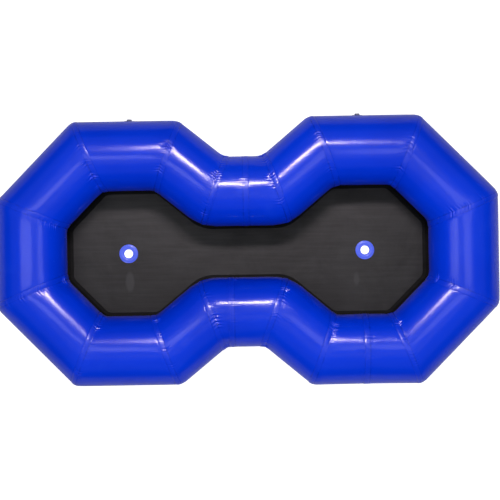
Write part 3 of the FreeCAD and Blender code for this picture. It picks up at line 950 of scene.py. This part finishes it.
def add_node(tree, kind, inputs=None, **settings):
    """Adds a node with its settings, and feeds its inputs with numbers, colours or other nodes' outputs."""
    node = tree.nodes.new(kind)
    for key, value in settings.items():
        setattr(node, key, value)
    for key, value in (inputs or {}).items():
        link_or_set(tree, value, node.inputs[key])
    return node


def maths(tree, operation, *values):
    return add_node(tree, "ShaderNodeMath", dict(enumerate(values)), operation=operation).outputs[0]


def smooth_step(tree, value, low, high, bottom=0.0, top=1.0):
    """Goes smoothly from bottom to top while value goes from low to high."""
    inputs = {"Value": value, "From Min": low, "From Max": high, "To Min": bottom, "To Max": top}
    return add_node(tree, "ShaderNodeMapRange", inputs, interpolation_type="SMOOTHSTEP").outputs[0]


def noise(tree, vector, scale, detail=2.0, roughness=0.5, distortion=0.0):
    inputs = {"Vector": vector, "Scale": scale, "Detail": detail, "Roughness": roughness,
              "Distortion": distortion}
    return add_node(tree, "ShaderNodeTexNoise", inputs).outputs["Fac"]


def stretch(tree, vector, scale, **more):
    return add_node(tree, "ShaderNodeMapping", {"Vector": vector, "Scale": scale, **more}).outputs[0]


def blend_colour(tree, share, first, second):
    """Mixes two colours. The Mix node keeps its colour sockets at places 6 and 7, and its result at 2."""
    node = add_node(tree, "ShaderNodeMix", {0: share}, data_type="RGBA")
    for place, value in ((6, first), (7, second)):
        link_or_set(tree, (*value, 1.0) if isinstance(value, tuple) else value, node.inputs[place])
    return node.outputs[2]


def tint(tree, colour, mask, strength, other):
    """Lets another colour through where the mask is bright, up to the strength."""
    return blend_colour(tree, maths(tree, "MULTIPLY", mask, strength), colour, other)


def new_group(name, inputs, outputs):
    tree = bpy.data.node_groups.new(name, "ShaderNodeTree")
    for socket, kind, value in inputs:
        made = tree.interface.new_socket(socket, in_out="INPUT", socket_type="NodeSocket" + kind)
        if value is not None:
            made.default_value = value
    for socket, kind in outputs:
        tree.interface.new_socket(socket, in_out="OUTPUT", socket_type="NodeSocket" + kind)
    return tree, tree.nodes.new("NodeGroupInput").outputs, tree.nodes.new("NodeGroupOutput").inputs


def use_group(tree, group, **inputs):
    node = tree.nodes.new("ShaderNodeGroup")
    node.node_tree = group
    for key, value in inputs.items():
        link_or_set(tree, value, node.inputs[key.replace("_", " ")])
    return node.outputs


print("node helpers ready")

# %% [markdown]
# ## Woven scrim under a coating
# PVC tarpaulin is a polyester weave with a film on each side. The threads show through the film as a fine
# grid, each a little proud of the gaps. Two crossed waves give that grid. It is a group, because the tube,
# the floor and the border all have it, at different sizes and strengths.

# %% Scrim group
scrim_group, scrim_in, scrim_out = new_group(
    "woven scrim", [("Vector", "Vector", None), ("Thread pitch", "Float", 0.0011), ("Evenness", "Float", 0.8)],
    [("Height", "Float"), ("Thread mask", "Float")])
wobble = noise(scrim_group, scrim_in["Vector"], 14.0, 2.0)
turns = maths(scrim_group, "DIVIDE", 2 * math.pi, scrim_in["Thread pitch"])
split = add_node(scrim_group, "ShaderNodeSeparateXYZ", {0: scrim_in["Vector"]})
waves = []
for axis in (0, 1):
    phase = maths(scrim_group, "MULTIPLY", split.outputs[axis], turns)
    phase = maths(scrim_group, "ADD", phase, maths(scrim_group, "MULTIPLY", wobble, 2.5))
    waves.append(maths(scrim_group, "MULTIPLY_ADD", maths(scrim_group, "SINE", phase), 0.5, 0.5))
grid = maths(scrim_group, "MAXIMUM", waves[0], waves[1])
patchy = noise(scrim_group, scrim_in["Vector"], 60.0, 2.0)
unevenness = maths(scrim_group, "SUBTRACT", 1.0, scrim_in["Evenness"])
strength = maths(scrim_group, "MULTIPLY_ADD", unevenness, maths(scrim_group, "SUBTRACT", patchy, 0.5), 1.0)
scrim_group.links.new(maths(scrim_group, "MULTIPLY", grid, strength), scrim_out["Height"])
scrim_group.links.new(maths(scrim_group, "POWER", grid, 3.0), scrim_out["Thread mask"])
print("group", scrim_group.name)

# %% [markdown]
# ## Handling marks
# A tube that has been folded, packed and dragged has faint rubbed patches, a few hair scratches and a veil of
# dust in places. The marks change roughness more than colour. The group gives a mask for each.

# %% Handling marks group
marks_group, marks_in, marks_out = new_group(
    "handling marks", [("Vector", "Vector", None), ("Scale", "Float", 1.0)],
    [("Rubbed", "Float"), ("Scratches", "Float"), ("Cloudiness", "Float")])
scaled = add_node(marks_group, "ShaderNodeVectorMath", {0: marks_in["Vector"], "Scale": marks_in["Scale"]},
                  operation="SCALE").outputs[0]
rubbed = smooth_step(marks_group, noise(marks_group, scaled, 5.0, 6.0, 0.62, 0.6), 0.56, 0.74)
stretched = stretch(marks_group, scaled, (3.0, 42.0, 9.0), Rotation=(0.0, 0.0, 0.5))
scratch_lines = smooth_step(marks_group, noise(marks_group, stretched, 3.0, 4.0, 0.7, 0.3), 0.66, 0.70)
scratch_places = smooth_step(marks_group, noise(marks_group, scaled, 3.1, 2.0), 0.52, 0.66)
marks_group.links.new(rubbed, marks_out["Rubbed"])
marks_group.links.new(maths(marks_group, "MULTIPLY", scratch_lines, scratch_places), marks_out["Scratches"])
marks_group.links.new(noise(marks_group, scaled, 2.2, 3.0, 0.55), marks_out["Cloudiness"])
print("group", marks_group.name)

# %% [markdown]
# ## Gloss blue PVC
# The tube's fabric is a smooth, glossy, saturated blue film. The film gets a clear coat of its own, so a
# light shows as a bright core with a soft skirt round it. Bump carries what is too small to model: the
# scrim, long shallow waves in the film, and the fine gathers beside each weld. The weld itself is a band as
# wide as the lap, where the hot die has left the film a little darker and less glossy.

# %% Helpers for materials
def new_material(name):
    """A material, its node tree, its Principled shader, and places in the object's own space."""
    material = bpy.data.materials.new(name)
    material.use_nodes = True
    tree = material.node_tree
    in_space = add_node(tree, "ShaderNodeTexCoord").outputs["Object"]
    return material, tree, tree.nodes["Principled BSDF"], in_space


def link(tree, source, node, socket):
    tree.links.new(source, node.inputs[socket])


def link_bump(tree, height, shader):
    """Bump from a height in metres."""
    bump = add_node(tree, "ShaderNodeBump", {"Strength": 1.0, "Distance": 1.0, "Height": height})
    link(tree, bump.outputs[0], shader, "Normal")


def stored(tree, title):
    """Reads a number that is kept with each point of the mesh."""
    return add_node(tree, "ShaderNodeAttribute", attribute_name=title).outputs["Fac"]


print("material helpers ready")

# %% Tube fabric
BLUE = (0.0, 0.038, 0.73)
BLUE_DEEP = (0.0, 0.032, 0.65)
BLUE_DUSTY = (0.010, 0.060, 0.75)
BLUE_SHADOW = (0.0, 0.006, 0.16)

tube_material, tree, shader, in_space = new_material("gloss_blue_pvc")
cloth_uv = add_node(tree, "ShaderNodeUVMap", uv_map="cloth").outputs[0]
marks = use_group(tree, marks_group, Vector=in_space, Scale=1.0)
scrim = use_group(tree, scrim_group, Vector=cloth_uv, Thread_pitch=0.0011, Evenness=0.7)
weld = stored(tree, "lapped")
broken = smooth_step(tree, noise(tree, in_space, 22.0, 4.0, 0.7), 0.40, 0.66, 0.10, 1.0)
seam_shade_line = maths(tree, "MULTIPLY", stored(tree, "seam_shade_line"), broken)
colour = blend_colour(tree, smooth_step(tree, marks["Cloudiness"], 0.35, 0.65), BLUE_DEEP, BLUE)
colour = tint(tree, colour, marks["Rubbed"], 0.22, BLUE_DUSTY)
colour = tint(tree, colour, marks["Scratches"], 0.35, BLUE_DUSTY)
colour = tint(tree, colour, weld, 0.12, BLUE_DEEP)
# Painted shade: the seam lines go dark towards BLUE_SHADOW where a fold or a lap's edge lies in shade; at a
# lap's edge the cut edge is dark too.
colour = tint(tree, colour, seam_shade_line, 0.55, BLUE_SHADOW)
link(tree, colour, shader, "Base Color")
rough = maths(tree, "MULTIPLY_ADD", marks["Rubbed"], 0.06, 0.20)
rough = maths(tree, "MULTIPLY_ADD", weld, 0.10, rough)
rough = maths(tree, "MULTIPLY_ADD", marks["Scratches"], 0.18, rough)
link(tree, rough, shader, "Roughness")
shader.inputs["IOR"].default_value = 1.28
shader.inputs["Coat Weight"].default_value = 0.15
shader.inputs["Coat Roughness"].default_value = 0.12
film_waves = noise(tree, in_space, 11.0, 2.0, 0.45)
gathers = noise(tree, stretch(tree, cloth_uv, (1.0, 0.25, 1.0)), 110.0, 2.0, 0.5)
roll_lines = noise(tree, stretch(tree, cloth_uv, (62.0, 1.4, 1.0)), 1.0, 3.0, 0.55)
near_weld = smooth_step(tree, stored(tree, "seam_distance"), 0.055, 0.006)
height = maths(tree, "MULTIPLY", maths(tree, "MULTIPLY", gathers, near_weld), 0.00075)
height = maths(tree, "MULTIPLY_ADD", film_waves, 0.0007, height)
height = maths(tree, "MULTIPLY_ADD", roll_lines, 0.00009, height)
height = maths(tree, "MULTIPLY_ADD", scrim["Height"], 0.000022, height)
link_bump(tree, height, shader)
for skin in skins:
    skin.data.materials.append(tube_material)
print("material", tube_material.name, "on", len(skins), "skins")

# %% [markdown]
# ## Satin black floor
# The floor is a coarser, duller coated fabric. Wiping and folding leave faint lighter streaks along it, and
# water leaves soft edges where it dried. Its sheen is low, so the lamps only lift it to dark grey.

# %% Floor, border and ring fabrics
PAINTED_REFLECTION_SIZE = (0.017, 0.040, 1.0)


def coated_fabric(name, dark, light, roughness, pitch, thread_height, ior=1.42, painted_reflection_spots=()):
    material, tree, shader, in_space = new_material(name)
    marks = use_group(tree, marks_group, Vector=in_space, Scale=1.6)
    scrim = use_group(tree, scrim_group, Vector=in_space, Thread_pitch=pitch, Evenness=0.4)
    lengthwise = stretch(tree, in_space, (1.3, 26.0, 1.0))
    streak = smooth_step(tree, noise(tree, lengthwise, 2.4, 6.0, 0.70), 0.38, 0.66)
    patch = smooth_step(tree, noise(tree, in_space, 3.4, 6.0, 0.66, 0.8), 0.40, 0.62)
    share = maths(tree, "MULTIPLY_ADD", streak, 0.5, maths(tree, "MULTIPLY", patch, 0.5))
    colour = blend_colour(tree, share, dark, light)
    colour = tint(tree, colour, scrim["Thread mask"], 0.25, light)
    colour = tint(tree, colour, marks["Scratches"], 0.4, tuple(min(1, c * 2.2 + 0.01) for c in light))
    # Painted reflection: each spot lightens the floor's colour where a small lamp would show in its sheen.
    for spot in painted_reflection_spots:
        inputs = {"Vector": in_space, "Location": spot, "Scale": PAINTED_REFLECTION_SIZE}
        flattened = add_node(tree, "ShaderNodeMapping", inputs, vector_type="TEXTURE").outputs[0]
        reach = add_node(tree, "ShaderNodeVectorMath", {0: flattened}, operation="LENGTH").outputs["Value"]
        spread = maths(tree, "MULTIPLY_ADD", maths(tree, "SUBTRACT", patch, 0.5), 0.5, reach)
        wear_and_reflection = smooth_step(tree, spread, 1.2, 0.55, 0.0, 0.65)
        colour = blend_colour(tree, wear_and_reflection, colour, tuple(c * 2.2 for c in light))
    link(tree, colour, shader, "Base Color")
    rough = maths(tree, "MULTIPLY_ADD", marks["Rubbed"], 0.10, roughness)
    link(tree, maths(tree, "MULTIPLY_ADD", streak, -0.06, rough), shader, "Roughness")
    shader.inputs["IOR"].default_value = ior
    height = maths(tree, "MULTIPLY", scrim["Height"], thread_height)
    link_bump(tree, maths(tree, "MULTIPLY_ADD", noise(tree, in_space, 16.0, 3.0), 0.0010, height), shader)
    return material


# Two painted lamp reflections on the near side of the drain holes, as x and y from the hole's middle.
painted_reflection_spots = [(drain_centres[side][0] + x, drain_centres[side][1] + y, FLOOR_TOP)
              for side, x, y in (("left", 0.004, -0.126), ("right", -0.040, -0.130))]
floor_material = coated_fabric("satin_black_floor", (0.0012, 0.0012, 0.0016), (0.0100, 0.0100, 0.0110),
                               0.50, 0.0016, 0.00005, ior=1.36, painted_reflection_spots=painted_reflection_spots)
border_material = coated_fabric("black_border", (0.0010, 0.0010, 0.0012), (0.0022, 0.0022, 0.0024),
                                0.8, 0.0012, 0.00004, ior=1.25)
ring_material = coated_fabric("blue_ring_pvc", (0.028, 0.080, 0.80), (0.07, 0.13, 0.90),
                              0.34, 0.0011, 0.00002)
inner_material = coated_fabric("bare_inner_fabric", (0.02, 0.04, 0.30), (0.05, 0.09, 0.42),
                               0.6, 0.0011, 0.00003)
floor_sheet.data.materials.append(floor_material)
border.data.materials.append(border_material)
for ring in rings.values():
    ring.data.materials.append(ring_material)
for band in seam_bands:
    band.data.materials.append(inner_material)
print("fabrics", floor_material.name, border_material.name, ring_material.name)

# %% [markdown]
# ## Valve finishes
# The valve is moulded plastic with a rubber seal and a steel spring. Moulded parts are even in colour, with a
# fine grain from the tool and edges that catch the light.

# %% Moulded plastic, rubber and steel
def moulded(name, colour, roughness, grain=0.00002, metallic=0.0):
    material, tree, shader, in_space = new_material(name)
    marks = use_group(tree, marks_group, Vector=in_space, Scale=22.0)
    wear_and_reflection = tuple(min(1.0, c * 1.35 + 0.01) for c in colour)
    link(tree, tint(tree, colour, marks["Rubbed"], 0.5, wear_and_reflection), shader, "Base Color")
    link(tree, maths(tree, "MULTIPLY_ADD", marks["Rubbed"], 0.12, roughness), shader, "Roughness")
    shader.inputs["Metallic"].default_value = metallic
    link_bump(tree, maths(tree, "MULTIPLY", noise(tree, in_space, 900.0, 2.0), grain), shader)
    return material


VALVE_FINISHES = {
    "valve_flange": moulded("valve_flange_pvc", (0.0, 0.02, 0.46), 0.34),
    "valve_body": moulded("grey_moulding", (0.16, 0.17, 0.19), 0.42),
    "valve_stem": moulded("pale_stem_moulding", (0.60, 0.60, 0.59), 0.38),
    "valve_seal": moulded("black_rubber", (0.012, 0.012, 0.012), 0.62, 0.00004),
    "valve_spring": moulded("steel_wire", (0.55, 0.55, 0.56), 0.25, 0.000004, 1.0),
    "valve_cap": moulded("grey_cap_moulding", (0.20, 0.21, 0.24), 0.40),
    "valve_cap_seal": moulded("cap_rubber", (0.014, 0.014, 0.014), 0.6, 0.00004),
    "valve_tether": moulded("tether_moulding", (0.20, 0.21, 0.24), 0.44),
}
for side in VALVES:
    boots[side].data.materials.append(VALVE_FINISHES["valve_flange"])
    caps[side].data.materials.append(VALVE_FINISHES["valve_cap"])
    springs[side].data.materials.append(VALVE_FINISHES["valve_spring"])
    hinges[side].data.materials.append(VALVE_FINISHES["valve_tether"])
    for part, material in VALVE_FINISHES.items():
        nodes[side + "_" + part].data.materials.clear()
        nodes[side + "_" + part].data.materials.append(material)
print("valve finishes", len(VALVE_FINISHES))

# %% [markdown]
# ## Studio
# The tube lies on a pale floor under soft lamps. The long highlights on glossy PVC are the lamps' own
# reflections, so each lamp's place and shape matter more than its power. A bank hangs over the far side and
# one over each end, and they show only in reflections. A wide fill overhead shows only in diffuse light, so
# the blue's brightness and its highlights can be set apart from each other.

# %% Studio floor
FLOOR_SPREAD = 9.0
FLOOR_LEVEL = -0.0005
corners_in_plan = ((-1, -1), (1, -1), (1, 1), (-1, 1))
floor_mesh = bpy.data.meshes.new("studio_floor")
floor_mesh.from_pydata([(x * FLOOR_SPREAD, y * FLOOR_SPREAD, FLOOR_LEVEL) for x, y in corners_in_plan], [],
                       [(0, 1, 2, 3)])
studio_floor = bpy.data.objects.new("studio_floor", floor_mesh)
bpy.context.collection.objects.link(studio_floor)
paper, tree, shader, _ = new_material("pale_paper")
in_reflections = add_node(tree, "ShaderNodeLightPath").outputs["Is Glossy Ray"]
link(tree, blend_colour(tree, in_reflections, (0.86, 0.86, 0.87), (0.42, 0.42, 0.43)), shader, "Base Color")
shader.inputs["Roughness"].default_value = 0.9
shader.inputs["Emission Color"].default_value = (1, 1, 1, 1)
seen_directly = add_node(tree, "ShaderNodeLightPath").outputs["Is Camera Ray"]
link(tree, maths(tree, "MULTIPLY_ADD", seen_directly, 0.65, 0.10), shader, "Emission Strength")
floor_mesh.materials.append(paper)
print("studio floor", FLOOR_SPREAD * 2, "m across")


# %% Lamps
def lamp(name, place, aim, size, power, colour=(1, 1, 1)):
    light = bpy.data.lights.new(name, "AREA")
    light.shape = "RECTANGLE"
    light.size, light.size_y = size
    light.energy = power
    light.color = colour
    holder = bpy.data.objects.new(name, light)
    holder.location = place
    holder.rotation_euler = (Vector(aim) - Vector(place)).to_track_quat("-Z", "Y").to_euler()
    bpy.context.collection.objects.link(holder)
    return holder


far_bank = lamp("far_bank", (0.0, 1.55, 3.1), (0.0, 0.2, 0.0), (1.15, 0.30), 128, (1.0, 0.88, 0.93))
far_rail = lamp("far_rail", (0.75, 1.45, 3.1), (0.75, 0.2, 0.0), (1.5, 0.14), 6)
left_bank = lamp("left_bank", (-1.45, 0.02, 3.0), (-0.9, 0.02, 0.2), (0.56, 1.9), 12)
right_bank = lamp("right_bank", (1.12, 0.0, 3.0), (0.9, 0.0, 0.2), (0.8, 1.1), 7)
fill = lamp("overhead_fill", (0, 0, 4.6), (0, 0, 0), (5.0, 4.0), 202)
fill.visible_glossy = False
for bank in (far_bank, far_rail, left_bank, right_bank):
    bank.visible_diffuse = False

# %% [markdown]
# ## Surroundings
# What surrounds the tube is mirrored in it too. A grey level high up and almost nothing at the horizon gives
# the broad soft sheen along the top of the tube and keeps its sides a deep blue.

# %% World
world = bpy.data.worlds.new("studio")
world.use_nodes = True
bpy.context.scene.world = world
tree = world.node_tree
sky = add_node(tree, "ShaderNodeTexCoord").outputs["Generated"]
upward = add_node(tree, "ShaderNodeSeparateXYZ", {0: sky}).outputs[2]
below_zenith = smooth_step(tree, upward, 0.985, 0.94)
above_horizon = smooth_step(tree, upward, 0.30, 0.62)
level = maths(tree, "MULTIPLY_ADD", maths(tree, "MULTIPLY", below_zenith, above_horizon), 0.26, 0.03)
background = tree.nodes["Background"]
tree.links.new(level, background.inputs["Strength"])
background.inputs["Color"].default_value = (1.0, 1.0, 1.0, 1)
bpy.context.scene.view_settings.view_transform = "Standard"
print("world", world.name)

# %% [markdown]
# ## Camera
# The camera looks straight down from well above, with a long lens, so that the plan hardly widens towards
# the frame's edges.

# %% Camera
CAMERA_HEIGHT = 5.76
CAMERA_ROLL = -0.95  # degrees
camera_data = bpy.data.cameras.new("camera")
camera_data.lens = 93.6
camera_data.sensor_width = 36.0
camera = bpy.data.objects.new("camera", camera_data)
camera.location = (0.009, 0.002, CAMERA_HEIGHT)
camera.rotation_euler = (0.0, 0.0, math.radians(CAMERA_ROLL))
bpy.context.collection.objects.link(camera)
bpy.context.scene.camera = camera
print("camera at", [round(c, 3) for c in camera.location], "lens", camera_data.lens)
